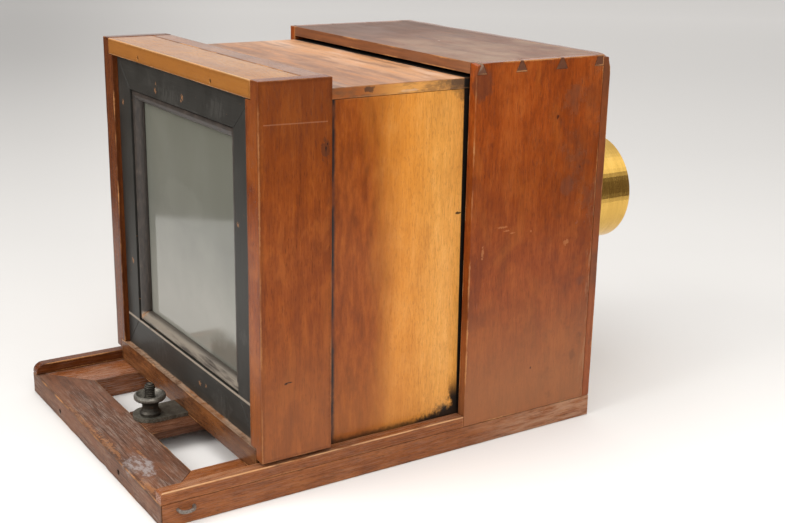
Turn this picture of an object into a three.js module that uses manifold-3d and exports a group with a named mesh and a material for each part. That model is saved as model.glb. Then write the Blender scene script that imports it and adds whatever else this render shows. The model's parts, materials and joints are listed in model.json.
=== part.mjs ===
import * as THREE from 'three';
import { mergeVertices } from 'three/addons/utils/BufferGeometryUtils.js';
import Module from 'manifold-3d';

// Sliding-box view camera with a brass portrait lens. Millimetres, +Z up, lens towards -Y.
// Design coordinates: x across (0 = middle), y from the front face of the box (rear is +y),
// z from the underside of the base. Every solid is shifted by SHIFT_Y at the end so that the
// origin is the middle of the object's underside.

const wasm = await Module();
wasm.setup();

const GAP = 0.3;               // clearance between neighbouring pieces
const HALF_W = 150;            // half of the outer width

// base frame
const BASE_L = 406;
const BASE_T = 18.4;
const WIN_R = -107.8;          // right window edge (operator's right is -X)
const WIN_L = 101.8;           // left window edge
const WIN_REAR = 364;          // front edge of the rear rail
const FRONT_BOARD = 118;
const SLAT_T = 7;              // thin centre slat, flush with the top
const SLAT_R = -30.5;
const SLAT_L = 21;
const STRIP_T = 10.1;
const STRIP_TOP = 28;

// front box
const BOX_D = 137.4;
const BOX_TOP = 320.7;
const BOARD_T = 8.6;
const TOP_T = 8.8;
const PANEL_T = 12;
const PANEL_LAP = 7.4;           // the part that covers the front ends of the sides and the top

// sliding box
const SLIDE_X = 138.3;
const SLIDE_TOP = 308.8;
const SLIDE_BOTTOM = 19.2;
const SLIDE_FRONT = 92;
const SLIDE_T = 8.5;

// carrier at the back of the sliding box
const CAR_Y0 = 264.6;
const CAR_Y1 = 324.4;
const CHEEK_T = 19.9;
const CHEEK_Z0 = 30.8;
const CHEEK_Z1 = 319.2;
const PLANK_Z0 = 305;
const PLANK_Z1 = 318.9;
const PLANK_SPLIT = 282.8;     // between the fixed plank and the removable cap
const CAP_X = 138;
const RAIL_Z0 = 19.3;
const RAIL_Z1 = 39;
const RAIL_Y0 = 296;
const LAP_X = 139;
const LAP_Y = 312;

// focusing screen
const SCR_X = 129.8;
const SCR_Z0 = 39.3;
const SCR_Z1 = 304.7;
const SCR_Y0 = 300;
const SCR_Y1 = 319.6;
const OPEN_R = -100.4;
const OPEN_L = 103.2;
const OPEN_Z0 = 68.4;
const OPEN_Z1 = 278.6;
const LIP_Y = 307;
const LIP_W = 5;
const GLASS_T = 3;
const BEAD_W = 8.6;
const BEAD_GAP = 1.2;
const TONGUE_W = 5;
const TONGUE_Y0 = 303.6;
const TONGUE_Y1 = 311;

// clamp
const CLAMP_X = 1;
const CLAMP_Y = 352.5;
const STUD_R = 4.4;
const STUD_TOP = 49.5;
const STRAP_T = 3;
const STRAP_W = 30;
const STRAP_X = 3;
const SLOT_Y0 = 268;

// lens, axis along Y
const LENS_Z = 165.4;
const HOOD_R = 51.4;
const HOOD_FRONT = -128.3;
const HOOD_REAR = -66;
const BARREL_R = 46.5;
const BARREL_FRONT = -60;
const BARREL_REAR = 25;
const TUBE_R = 43.7;
const PINION_Y = -42;
const MODULE = 0.8;
const TEETH = 12;
const PITCH_R = MODULE * TEETH / 2;
const RACK_LINE = 47.2;        // pitch line above the lens axis

const SHIFT_Y = -(BASE_L + HOOD_FRONT) / 2;

const WOOD = { red: '#8a4527', brown: '#7a4f34', grey: '#7b6353', honey: '#c98a45', dark: '#4a3527' };
const group = new THREE.Group();

function addMesh(name, geometry, color, roughness = 0.6, metalness = 0) {
  const g = geometry.clone();
  g.translate(0, SHIFT_Y, 0);
  g.computeVertexNormals();
  const mesh = new THREE.Mesh(g, new THREE.MeshStandardMaterial({ color, roughness, metalness }));
  mesh.name = name;
  group.add(mesh);
}

function clean(geometry) {
  const g = geometry.clone();
  g.deleteAttribute('normal');
  g.deleteAttribute('uv');
  return mergeVertices(g, 1e-4);
}

function toManifold(geometry) {
  const g = clean(geometry);
  return new wasm.Manifold(new wasm.Mesh({
    numProp: 3,
    vertProperties: new Float32Array(g.attributes.position.array),
    triVerts: new Uint32Array(g.index.array),
  }));
}

function fromManifold(solid) {
  const mesh = solid.getMesh();
  const g = new THREE.BufferGeometry();
  g.setAttribute('position', new THREE.BufferAttribute(new Float32Array(mesh.vertProperties), 3));
  g.setIndex(new THREE.BufferAttribute(new Uint32Array(mesh.triVerts), 1));
  return g;
}

function cut(geometry, ...tools) {
  let solid = toManifold(geometry);
  for (const t of tools) solid = solid.subtract(toManifold(t));
  return fromManifold(solid);
}

function fuse(...pieces) {
  let solid = toManifold(pieces[0]);
  for (const p of pieces.slice(1)) solid = solid.add(toManifold(p));
  return fromManifold(solid);
}

function box(x0, x1, y0, y1, z0, z1) {
  const g = new THREE.BoxGeometry(x1 - x0, y1 - y0, z1 - z0);
  g.translate((x0 + x1) / 2, (y0 + y1) / 2, (z0 + z1) / 2);
  return g;
}

// a board on one side (s = -1 right, +1 left), given by its distances from the middle plane
function sideBox(s, a, b, y0, y1, z0, z1) {
  return s < 0 ? box(-b, -a, y0, y1, z0, z1) : box(a, b, y0, y1, z0, z1);
}

// outline in x-y, upright walls
function prismZ(points, z0, z1) {
  const g = new THREE.ExtrudeGeometry(new THREE.Shape(points.map((p) => new THREE.Vector2(...p))),
    { depth: z1 - z0, bevelEnabled: false, curveSegments: 16 });
  g.translate(0, 0, z0);
  return g;
}

// outline in y-z, walls along x
function prismX(points, x0, x1) {
  const g = new THREE.ExtrudeGeometry(new THREE.Shape(points.map((p) => new THREE.Vector2(...p))),
    { depth: x1 - x0, bevelEnabled: false });
  g.applyMatrix4(new THREE.Matrix4().set(0, 0, 1, x0, 1, 0, 0, 0, 0, 1, 0, 0, 0, 0, 0, 1));
  return g;
}

// closed loft between two outlines with the same number of points
function loft(a, b, flat) {
  const n = a.length;
  const outline = flat.map((p) => new THREE.Vector2(...p));
  if (THREE.ShapeUtils.area(outline) < 0) {
    for (const list of [a, b, outline]) list.reverse();
  }
  const tris = THREE.ShapeUtils.triangulateShape(outline, []);
  const index = [];
  for (const t of tris) {
    index.push(t[0], t[2], t[1]);
    index.push(n + t[0], n + t[1], n + t[2]);
  }
  for (let i = 0; i < n; i++) {
    const j = (i + 1) % n;
    index.push(i, j, n + j, i, n + j, n + i);
  }
  const g = new THREE.BufferGeometry();
  g.setAttribute('position', new THREE.Float32BufferAttribute([...a, ...b].flat(), 3));
  g.setIndex(index);
  return orient(g);
}

function orient(g) {
  const p = g.attributes.position;
  const ix = g.index.array;
  const A = new THREE.Vector3(), B = new THREE.Vector3(), C = new THREE.Vector3();
  let volume = 0;
  for (let i = 0; i < ix.length; i += 3) {
    A.fromBufferAttribute(p, ix[i]);
    B.fromBufferAttribute(p, ix[i + 1]);
    C.fromBufferAttribute(p, ix[i + 2]);
    volume += A.dot(B.cross(C));
  }
  if (volume < 0) {
    const flipped = [];
    for (let i = 0; i < ix.length; i += 3) flipped.push(ix[i], ix[i + 2], ix[i + 1]);
    g.setIndex(flipped);
  }
  return g;
}

// solid of revolution; profile pairs are (radius, distance along the axis), closed on itself
// unless both its ends are on the axis
function turned(profile, segments = 64) {
  const pts = profile.map((p) => new THREE.Vector2(...p));
  const onAxis = pts[0].x === 0 && pts[pts.length - 1].x === 0;
  if (!onAxis) pts.push(pts[0].clone());
  const g = clean(new THREE.LatheGeometry(pts, segments));
  const ix = g.index.array;
  const keep = [];
  for (let i = 0; i < ix.length; i += 3) {
    if (ix[i] !== ix[i + 1] && ix[i + 1] !== ix[i + 2] && ix[i] !== ix[i + 2]) {
      keep.push(ix[i], ix[i + 1], ix[i + 2]);
    }
  }
  g.setIndex(keep);
  return orient(g);
}

const onLensAxis = (profile, segments) => turned(profile, segments).translate(0, 0, LENS_Z);

function upright(profile, x, y, segments = 40) {
  return turned(profile.map(([r, z]) => [r, -z]), segments).rotateX(-Math.PI / 2).translate(x, y, 0);
}

function rod(r, from, to, segments = 20) {
  const a = new THREE.Vector3(...from), b = new THREE.Vector3(...to);
  const g = new THREE.CylinderGeometry(r, r, a.distanceTo(b), segments);
  const dir = b.clone().sub(a).normalize();
  g.applyQuaternion(new THREE.Quaternion().setFromUnitVectors(new THREE.Vector3(0, 1, 0), dir));
  g.translate((a.x + b.x) / 2, (a.y + b.y) / 2, (a.z + b.z) / 2);
  return g;
}

// ---------------------------------------------------------------- base frame
function buildBase() {
  const g = GAP / 2;
  const holes = [[76, 7.2], [-63.3, 8.4]].map(([x, z]) => rod(2.1, [x, BASE_L - 14, z], [x, BASE_L + 2, z], 16));
  const rail = prismZ([[WIN_R + g, WIN_REAR], [WIN_L - g, WIN_REAR], [HALF_W - g * 2, BASE_L],
    [-HALF_W + g * 2, BASE_L]], 0, BASE_T);
  const groove = (y0, y1) => box(SLAT_R - 1, SLAT_L + 1, y0, y1, BASE_T - 5.3, BASE_T - 1.7);
  addMesh('base_rear_rail', cut(rail, ...holes, groove(WIN_REAR - 1, WIN_REAR + 8.5)), WOOD.grey, 0.7);
  const stileR = [[-HALF_W, 0], [WIN_R, 0], [WIN_R, WIN_REAR - g], [-HALF_W, BASE_L - g * 2]];
  const stileL = [[WIN_L, 0], [HALF_W, 0], [HALF_W, BASE_L - g * 2], [WIN_L, WIN_REAR - g]];
  const stapleHoles = (s) => [-6.3, 6.3].map((d) => rod(1.3, [s * 139, 387 + d, 12.4], [s * 152, 387 + d, 12.4], 12));
  addMesh('base_stile_right', cut(prismZ(stileR, 0, BASE_T), ...stapleHoles(-1)), WOOD.grey, 0.7);
  addMesh('base_stile_left', cut(prismZ(stileL, 0, BASE_T), ...stapleHoles(1)), WOOD.grey, 0.7);
  addMesh('base_front_board', cut(box(WIN_R + GAP, WIN_L - GAP, 0, FRONT_BOARD, 0, BASE_T),
    groove(FRONT_BOARD - 8.5, FRONT_BOARD + 1)), WOOD.grey, 0.7);
  // thin centre slat: tongue at each end, long slot for the clamp bolt
  const z0 = BASE_T - SLAT_T;
  const slat = fuse(box(SLAT_R, SLAT_L, FRONT_BOARD + GAP, WIN_REAR - GAP, z0, BASE_T),
    box(SLAT_R, SLAT_L, FRONT_BOARD - 7.5, WIN_REAR + 7.5, BASE_T - 5, BASE_T - 2));
  const half = STUD_R + 0.7;
  addMesh('base_centre_slat', cut(slat, box(CLAMP_X - half, CLAMP_X + half, SLOT_Y0, 358, z0 - 1, BASE_T + 1)),
    WOOD.brown, 0.7);
  for (const [name, s, r] of [['guide_strip_right', -1, 2.4], ['guide_strip_left', 1, 8.6]]) {
    const pts = [[BOX_D + GAP, BASE_T + GAP], [BASE_L, BASE_T + GAP]];
    for (let i = 0; i <= 8; i++) {
      const a = (i / 8) * Math.PI / 2;
      pts.push([BASE_L - r + r * Math.cos(a), STRIP_TOP - r + r * Math.sin(a)]);
    }
    pts.push([BOX_D + GAP, STRIP_TOP]);
    const x0 = s < 0 ? -HALF_W : HALF_W - STRIP_T;
    addMesh(name, prismX(pts, x0, x0 + STRIP_T), WOOD.red);
  }
}

// wire staple: two legs driven into the stile, bow sagging a little outside it
function staple(name, s) {
  const P = (d, out, z) => new THREE.Vector3(s * (HALF_W + out), 387 + d, z);
  const curve = new THREE.CatmullRomCurve3([P(-6.3, -10, 12.4), P(-6.3, -4, 12.4), P(-6.3, 0.2, 12.4), P(-5.6, 2.6, 11.8),
    P(-3.4, 3.9, 11.2), P(0, 4.2, 11), P(3.4, 3.9, 11.2), P(5.6, 2.6, 11.8), P(6.3, 0.2, 12.4), P(6.3, -4, 12.4),
    P(6.3, -10, 12.4)]);
  const ring = [];
  for (let i = 0; i < 10; i++) ring.push(new THREE.Vector2(Math.cos(i * Math.PI / 5), Math.sin(i * Math.PI / 5)));
  addMesh(name, new THREE.ExtrudeGeometry(new THREE.Shape(ring), { steps: 44, extrudePath: curve }), '#8b8378', 0.5, 0.8);
}

// ---------------------------------------------------------------- front box
// dovetail pins: [wide start, wide end, narrow start, narrow end] along y
const PINS = [[6, 17.3, 6, 14], [46.2, 57.8, 51, 53], [87.6, 98.6, 92.1, 94.1], [127.4, 136.4, 131.6, 133.4]];

function pin(p, grow, x0, x1) {
  const z0 = BOX_TOP - TOP_T, h = 2.2 * grow;
  return prismX([[p[0] - h, z0 - grow], [p[1] + h, z0 - grow], [p[3] + h, BOX_TOP + 0.01],
    [p[2] - h, BOX_TOP + 0.01]], x0, x1);
}

function buildFrontBox() {
  const z0 = BASE_T + GAP;
  const y0 = PANEL_LAP + GAP;
  for (const [name, s] of [['front_box_side_right', -1], ['front_box_side_left', 1]]) {
    const board = sideBox(s, HALF_W - BOARD_T, HALF_W, y0, BOX_D, z0, BOX_TOP);
    const sockets = PINS.map((p) => pin(p, GAP / 2, -HALF_W - 1, HALF_W + 1));
    addMesh(name, cut(board, ...sockets), WOOD.red, 0.45);
  }
  const inner = HALF_W - BOARD_T - GAP;
  let top = toManifold(box(-inner, inner, y0, BOX_D, BOX_TOP - TOP_T, BOX_TOP));
  const limit = toManifold(box(-HALF_W, HALF_W, y0, BOX_D, BOX_TOP - TOP_T, BOX_TOP));
  for (const p of PINS) top = top.add(toManifold(pin(p, 0, -HALF_W, HALF_W)).intersect(limit));
  addMesh('front_box_top', fromManifold(top), WOOD.brown, 0.55);
  const panel = fuse(box(-HALF_W, HALF_W, 0, PANEL_LAP, z0, BOX_TOP),
    box(-inner, inner, PANEL_LAP - 1, PANEL_T, z0, BOX_TOP - TOP_T - GAP));
  const hole = rod(BARREL_R + 0.4, [0, -2, LENS_Z], [0, PANEL_T + 2, LENS_Z], 64);
  const screwHoles = screwPlaces().map(([x, z]) => rod(2.0, [x, -2, z], [x, 10, z], 14));
  addMesh('lens_panel', cut(panel, hole, ...screwHoles), WOOD.red, 0.45);
}

// ---------------------------------------------------------------- sliding box and carrier
function buildSlidingBox() {
  const y1 = CAR_Y0 - GAP;
  const inner = SLIDE_X - SLIDE_T;
  const sideTop = SLIDE_TOP - SLIDE_T - GAP;
  const side = (s) => sideBox(s, inner, SLIDE_X, SLIDE_FRONT, y1, SLIDE_BOTTOM, sideTop);
  addMesh('slide_box_side_right', side(-1), WOOD.red, 0.45);
  addMesh('slide_box_side_left', side(1), WOOD.red, 0.45);
  addMesh('slide_box_top', box(-SLIDE_X, SLIDE_X, SLIDE_FRONT, y1, SLIDE_TOP - SLIDE_T, SLIDE_TOP),
    WOOD.brown, 0.5);
  addMesh('slide_box_bottom', box(-inner + GAP, inner - GAP, SLIDE_FRONT, RAIL_Y0 - GAP, SLIDE_BOTTOM,
    SLIDE_BOTTOM + SLIDE_T), WOOD.brown, 0.6);
}

function buildCarrier() {
  const inner = HALF_W - CHEEK_T;
  for (const [name, s] of [['cheek_right', -1], ['cheek_left', 1]]) {
    const cheek = sideBox(s, inner, HALF_W, CAR_Y0, CAR_Y1, CHEEK_Z0, CHEEK_Z1);
    addMesh(name, cut(cheek,
      sideBox(s, inner - 2, CAP_X + GAP, CAR_Y0 - 2, CAR_Y1 + 2, PLANK_Z0 - GAP, CHEEK_Z1 + 2),
      sideBox(s, inner - 2, LAP_X + GAP, LAP_Y, CAR_Y1 + 2, CHEEK_Z0 - 2, RAIL_Z1 + GAP),
      sideBox(s, inner - 2, inner + TONGUE_W + 0.6, TONGUE_Y0 - 0.4, TONGUE_Y1 + 0.4, SCR_Z0 - 0.4, CHEEK_Z1 + 2)),
    WOOD.red, 0.45);
  }
  addMesh('carrier_top_plank', box(-CAP_X, CAP_X, CAR_Y0, PLANK_SPLIT - GAP, PLANK_Z0, PLANK_Z1),
    WOOD.dark, 0.6);
  const rail = fuse(box(-inner + GAP, inner - GAP, RAIL_Y0, CAR_Y1, RAIL_Z0, RAIL_Z1),
    box(-LAP_X, LAP_X, LAP_Y + GAP, CAR_Y1, RAIL_Z0, RAIL_Z1));
  const hw = STRAP_W / 2 + GAP;
  const notch = box(STRAP_X - hw, STRAP_X + hw, 305, CAR_Y1 + 1, RAIL_Z0 - 1, BASE_T + STRAP_T + 2 * GAP);
  const screwHoles = strapScrews().map(([x, y]) => rod(1.9, [x, y, RAIL_Z0 - 1], [x, y, 34], 14));
  addMesh('carrier_bottom_rail', cut(rail, notch, ...screwHoles), WOOD.brown, 0.5);
}

// ---------------------------------------------------------------- focusing screen
// a straight piece of the rectangular frame; profile pairs are (offset inward from the opening
// edge, y); ends follow the line through the opening corner and the outer corner
function framePiece(side, profile, gap) {
  const X = [-SCR_X, SCR_X], x = [OPEN_R, OPEN_L], Z = [SCR_Z0, SCR_Z1], z = [OPEN_Z0, OPEN_Z1];
  const level = side === 'bottom' || side === 'top';
  const k = side === 'top' || side === 'left' ? 1 : 0;
  const dir = k ? -1 : 1;
  const at = (end, u, y) => {
    const sgn = end ? -1 : 1;
    if (level) {
      const zz = z[k] + dir * u;
      const slope = (x[end] - X[end]) / (z[k] - Z[k]) * dir;
      return [x[end] + slope * u + sgn * gap, y, zz];
    }
    const xx = x[k] + dir * u;
    const slope = (z[end] - Z[end]) / (x[k] - X[k]) * dir;
    return [xx, y, z[end] + slope * u + sgn * gap];
  };
  return loft(profile.map(([u, y]) => at(0, u, y)), profile.map(([u, y]) => at(1, u, y)), profile);
}

const SIDES = ['right', 'left', 'top', 'bottom'];

function buildScreen() {
  const outer = { right: OPEN_R + SCR_X, left: SCR_X - OPEN_L, top: SCR_Z1 - OPEN_Z1, bottom: OPEN_Z0 - SCR_Z0 };
  for (const side of SIDES) {
    const w = outer[side];
    let piece = framePiece(side, [[-w, SCR_Y0], [LIP_W, SCR_Y0], [LIP_W, LIP_Y], [0, LIP_Y], [0, SCR_Y1],
      [-w, SCR_Y1]], 0.12);
    if (side === 'right' || side === 'left') {
      const s = side === 'right' ? -1 : 1;
      piece = fuse(piece, sideBox(s, SCR_X - 2, SCR_X + TONGUE_W, TONGUE_Y0, TONGUE_Y1, SCR_Z0 + 4, SCR_Z1 - 4));
    }
    addMesh(`screen_frame_${side}`, piece, '#2c2b2a', 0.6);
  }
  const gy = LIP_Y + GAP;
  addMesh('ground_glass', box(OPEN_R + 0.5, OPEN_L - 0.5, gy, gy + GLASS_T, OPEN_Z0 + 0.5, OPEN_Z1 - 0.5),
    '#9aa096', 0.5);
  const y0 = gy + GLASS_T + GAP, y1 = SCR_Y1 - 1.2;
  const profile = [[BEAD_GAP, y0], [BEAD_GAP, y1 - 0.6]];
  for (let i = 0; i <= 7; i++) {
    const a = Math.PI / 2 * (1 - i / 7);
    profile.push([BEAD_GAP + 1.4 + (BEAD_W - 1.4) * Math.cos(a), y0 + 0.8 + (y1 - y0 - 0.8) * Math.sin(a)]);
  }
  profile.push([BEAD_GAP + BEAD_W, y0]);
  for (const side of SIDES) addMesh(`glass_bead_${side}`, framePiece(side, profile, 0.12), '#33271f', 0.55);
  const cap = box(-CAP_X, CAP_X, PLANK_SPLIT + GAP, CAR_Y1, PLANK_Z0, PLANK_Z1);
  const nails = [70.4, -72];
  addMesh('screen_cap', cut(cap, ...nails.map((x) => rod(1.5, [x, CAR_Y1 - 20, 309], [x, CAR_Y1 + 1, 309], 14))),
    WOOD.honey, 0.5);
  nails.forEach((x, i) => addMesh(`cap_nail_${i + 1}`, rod(1.2, [x, CAR_Y1 - 18, 309], [x, CAR_Y1 - 1.2, 309], 14),
    '#3a332d', 0.6, 0.6));
}

// ---------------------------------------------------------------- clamp
function strapScrews() {
  return [[STRAP_X - 8, 314], [STRAP_X + 8, 314]];
}

function buildClamp() {
  const z0 = BASE_T + GAP, z1 = z0 + STRAP_T;
  const r = STRAP_W / 2;
  const pts = [[STRAP_X - r, 305.5], [STRAP_X + r, 305.5]];
  for (let i = 0; i <= 20; i++) {
    const a = i * Math.PI / 20;
    pts.push([STRAP_X + r * Math.cos(a), CLAMP_Y - 1 + r * Math.sin(a)]);
  }
  const strap = cut(prismZ(pts, z0, z1), rod(STUD_R + GAP, [CLAMP_X, CLAMP_Y, 0], [CLAMP_X, CLAMP_Y, 40], 32),
    ...strapScrews().map(([x, y]) => rod(2.2, [x, y, 0], [x, y, 40], 16)));
  addMesh('clamp_strap', strap, '#5b5248', 0.45, 0.85);
  strapScrews().forEach(([x, y], i) => addMesh(`strap_screw_${i + 1}`, upright([[0, z1 + 10], [1.6, z1 + 9],
    [1.6, z0 - 0.9], [1.9, z0 - 0.5], [1.9, z0], [0, z0]], x, y, 18), '#7c7468', 0.45, 0.85));
  // bolt with a broad head under the slat and a threaded upper part
  const head = BASE_T - SLAT_T - GAP;
  const thread = [[0, head - 4.4], [9, head - 4.4], [9, head], [STUD_R - 0.3, head], [STUD_R - 0.3, z1 + 1]];
  for (let z = z1 + 1.4; z < STUD_TOP - 3; z += 1.4) thread.push([STUD_R - 0.55, z], [STUD_R, z + 0.7]);
  thread.push([STUD_R - 0.5, STUD_TOP - 1.8], [STUD_R - 1.6, STUD_TOP - 0.5], [0, STUD_TOP]);
  addMesh('clamp_bolt', upright(thread, CLAMP_X, CLAMP_Y, 28), '#544c43', 0.5, 0.85);
  const zb = z1 + GAP, bore = STUD_R + GAP;
  const nut = [[bore, zb], [8.7, zb], [8.9, zb + 2.2], [7.4, zb + 3.8], [6.7, zb + 6.2], [6.9, zb + 9.4], [8.6, zb + 11.8],
    [12.4, zb + 13.4], [13.3, zb + 14.6], [13.4, zb + 16.3], [12.7, zb + 17.8], [11.4, zb + 18.2], [9.6, zb + 16.6],
    [7, zb + 15.2], [bore, zb + 14.8]];
  addMesh('clamp_nut', upright(nut, CLAMP_X, CLAMP_Y, 44), '#4b4540', 0.4, 0.85);
}

// ---------------------------------------------------------------- lens
function screwPlaces() {
  return [45, 135, 225, 315].map((d) => {
    const a = d * Math.PI / 180;
    return [59 * Math.cos(a), LENS_Z + 59 * Math.sin(a)];
  });
}

function gearOutline(teeth, m, backlash) {
  const pts = [];
  const rp = m * teeth / 2, rt = rp + 0.85 * m, rr = rp - 1.1 * m;
  const half = Math.PI / teeth / 2 - backlash / rp / 2;
  for (let i = 0; i < teeth; i++) {
    const c = (i + 0.5) * 2 * Math.PI / teeth;
    for (const [r, k] of [[rr, -1.55], [rp, -1], [rt, -0.5], [rt, 0.5], [rp, 1], [rr, 1.55]]) {
      pts.push([r * Math.cos(c + k * half), r * Math.sin(c + k * half)]);
    }
  }
  return pts;
}

function buildLens() {
  const brass = (name, geometry, color = '#c39a45') => addMesh(name, geometry, color, 0.28, 0.95);
  // flange ring with a raised collar, screwed to the panel
  const flange = onLensAxis([[BARREL_R + 0.3, -0.3], [66, -0.3], [66, -2.8], [65, -3.8], [54, -4.2], [52.4, -5.2],
    [52, -7.4], [51, -8.2], [BARREL_R + 0.3, -8.2]], 72);
  brass('lens_flange', cut(flange, ...screwPlaces().map(([x, z]) => rod(2.1, [x, -12, z], [x, 2, z], 14))));
  screwPlaces().forEach(([x, z], i) => {
    const screw = turned([[0, 9], [1.8, 7], [1.8, -4.4], [4.1, -4.4], [3.9, -5.4], [2.6, -6.3], [0, -6.6]], 18);
    brass(`flange_screw_${i + 1}`, screw.translate(x, 0, z), '#b08a3e');
  });
  // fixed barrel, slotted on top for the rack
  const barrel = onLensAxis([[44, BARREL_REAR], [BARREL_R, BARREL_REAR], [BARREL_R, BARREL_FRONT + 6],
    [48.2, BARREL_FRONT + 5], [48.2, BARREL_FRONT + 1], [47.4, BARREL_FRONT], [44, BARREL_FRONT]], 72);
  brass('lens_barrel', cut(barrel, box(-3.9, 3.9, BARREL_FRONT - 2, -8.6, LENS_Z + 30, LENS_Z + 60)));
  // moving tube and hood
  brass('focus_tube', onLensAxis([[41.9, 18], [TUBE_R, 18], [TUBE_R, -94], [41.9, -94], [41.9, -92], [41.2, -92],
    [41.2, -80.5], [41.9, -80.5]], 72), '#b8913f');
  brass('lens_hood', onLensAxis([[TUBE_R + GAP, HOOD_REAR], [HOOD_R - 0.8, HOOD_REAR], [HOOD_R, HOOD_REAR - 0.8],
    [HOOD_R, HOOD_FRONT + 0.8], [HOOD_R - 0.7, HOOD_FRONT], [HOOD_R - 1.9, HOOD_FRONT], [HOOD_R - 1.9, HOOD_REAR - 4],
    [TUBE_R + GAP, HOOD_REAR - 4]], 80));
  brass('front_retaining_ring', onLensAxis([[38.5, -96.6], [48.6, -96.6], [48.9, -95.6], [48.9, -94.3], [40.9, -94.3],
    [40.9, -92.6], [38.5, -92.6]], 64), '#b08a3e');
  const glass = (name, y, t, r, bow) => {
    const face = (side) => [0, 1, 2, 3, 4, 5].map((i) => {
      const q = r * i / 5;
      return [q, y + side * (t / 2 + bow * (1 - (q / r) ** 2))];
    });
    addMesh(name, onLensAxis([...face(-1), ...face(1).reverse()], 48), '#c9d6d2', 0.05);
  };
  glass('front_lens', -86.2, 5, 40.8, 3.2);
  glass('rear_lens', 8, 4, 41.4, 3);
  brass('rear_retaining_ring', onLensAxis([[37.5, 14], [41.6, 14], [41.6, 16.8], [37.5, 16.8]], 56), '#b08a3e');
  // rack on the moving tube
  const p = Math.PI * MODULE;
  const y0 = -50, teeth = 15;
  const zr = LENS_Z + RACK_LINE;
  const phase = PINION_Y - (Math.round((PINION_Y - y0) / p) * p) ;
  const rack = [[phase - p / 2, LENS_Z + TUBE_R + 0.35]];
  rack.push([phase - p / 2 + teeth * p, LENS_Z + TUBE_R + 0.35], [phase - p / 2 + teeth * p, zr - 1.1 * MODULE]);
  for (let i = teeth - 1; i >= 0; i--) {
    const c = phase + i * p;
    const h = (s, k) => [c + s * (p / 4 - 0.08) * k, 0];
    rack.push([h(1, 1.5)[0], zr - 1.1 * MODULE], [h(1, 0.55)[0], zr + 0.8 * MODULE],
      [h(-1, 0.55)[0], zr + 0.8 * MODULE], [h(-1, 1.5)[0], zr - 1.1 * MODULE]);
  }
  rack.push([phase - p / 2, zr - 1.1 * MODULE]);
  brass('focus_rack', prismX(rack.reverse(), -2.9, 2.9), '#a98538');
  // bracket straddling the slot, pinion shaft and knob
  const zc = LENS_Z + RACK_LINE + PITCH_R;
  const bracket = cut(box(-9, 9, PINION_Y - 10, PINION_Y + 10, LENS_Z + BARREL_R + 0.3, zc + 8),
    box(-3.5, 3.5, PINION_Y - 12, PINION_Y + 12, LENS_Z + 40, LENS_Z + RACK_LINE + 1.6),
    box(-3.5, 3.5, PINION_Y - 6.6, PINION_Y + 6.6, LENS_Z + 40, zc + 6.4),
    rod(2.35, [-12, PINION_Y, zc], [12, PINION_Y, zc], 24));
  brass('pinion_bracket', bracket, '#b8913f');
  const gear = prismX(gearOutline(TEETH, MODULE, 0.35), -2.9, 2.9).translate(0, PINION_Y, zc);
  brass('focus_pinion', fuse(gear, rod(2.1, [-33, PINION_Y, zc], [10.5, PINION_Y, zc], 24)), '#8f8672');
  const knurl = [];
  for (let i = 0; i < 72; i++) {
    const r = i % 2 ? 11.2 : 10.6;
    knurl.push([r * Math.cos(i * Math.PI / 36), r * Math.sin(i * Math.PI / 36)]);
  }
  const knob = fuse(prismX(knurl, -32, -24).translate(0, PINION_Y, zc), rod(5, [-25, PINION_Y, zc], [-18, PINION_Y, zc], 32));
  brass('focus_knob', cut(knob, rod(2.4, [-40, PINION_Y, zc], [0, PINION_Y, zc], 24)));
}

buildBase();
staple('base_staple_right', -1);
staple('base_staple_left', 1);
buildFrontBox();
buildSlidingBox();
buildCarrier();
buildScreen();
buildClamp();
buildLens();

export default group;
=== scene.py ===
import json
import math

import bmesh
import bpy
from mathutils import Matrix, Vector, noise

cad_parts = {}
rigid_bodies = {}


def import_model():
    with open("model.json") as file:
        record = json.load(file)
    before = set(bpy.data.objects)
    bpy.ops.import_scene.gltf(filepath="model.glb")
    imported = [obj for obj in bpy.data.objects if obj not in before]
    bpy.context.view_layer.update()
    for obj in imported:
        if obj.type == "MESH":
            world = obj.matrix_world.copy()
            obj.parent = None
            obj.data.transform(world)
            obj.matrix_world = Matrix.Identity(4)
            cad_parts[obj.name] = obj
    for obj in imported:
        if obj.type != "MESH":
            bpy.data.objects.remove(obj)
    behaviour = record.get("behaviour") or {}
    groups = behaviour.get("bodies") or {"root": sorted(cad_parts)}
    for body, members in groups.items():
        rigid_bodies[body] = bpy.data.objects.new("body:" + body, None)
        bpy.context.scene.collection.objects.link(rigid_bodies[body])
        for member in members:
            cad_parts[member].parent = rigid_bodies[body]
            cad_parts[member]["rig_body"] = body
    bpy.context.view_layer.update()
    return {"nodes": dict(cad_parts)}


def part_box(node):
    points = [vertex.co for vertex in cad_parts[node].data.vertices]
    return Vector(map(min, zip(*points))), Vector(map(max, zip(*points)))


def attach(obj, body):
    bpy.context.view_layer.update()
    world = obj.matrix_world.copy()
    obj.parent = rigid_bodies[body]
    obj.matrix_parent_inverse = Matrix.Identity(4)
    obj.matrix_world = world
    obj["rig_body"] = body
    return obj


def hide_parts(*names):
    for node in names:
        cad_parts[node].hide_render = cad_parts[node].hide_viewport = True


# A wooden sliding-box camera: aged mahogany boards, black focusing screen, iron clamp and a
# brass portrait lens. Metres, lens towards -Y; the side nearest to the camera is -X.

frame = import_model()
NODES = frame["nodes"]
MM = 0.001


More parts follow.
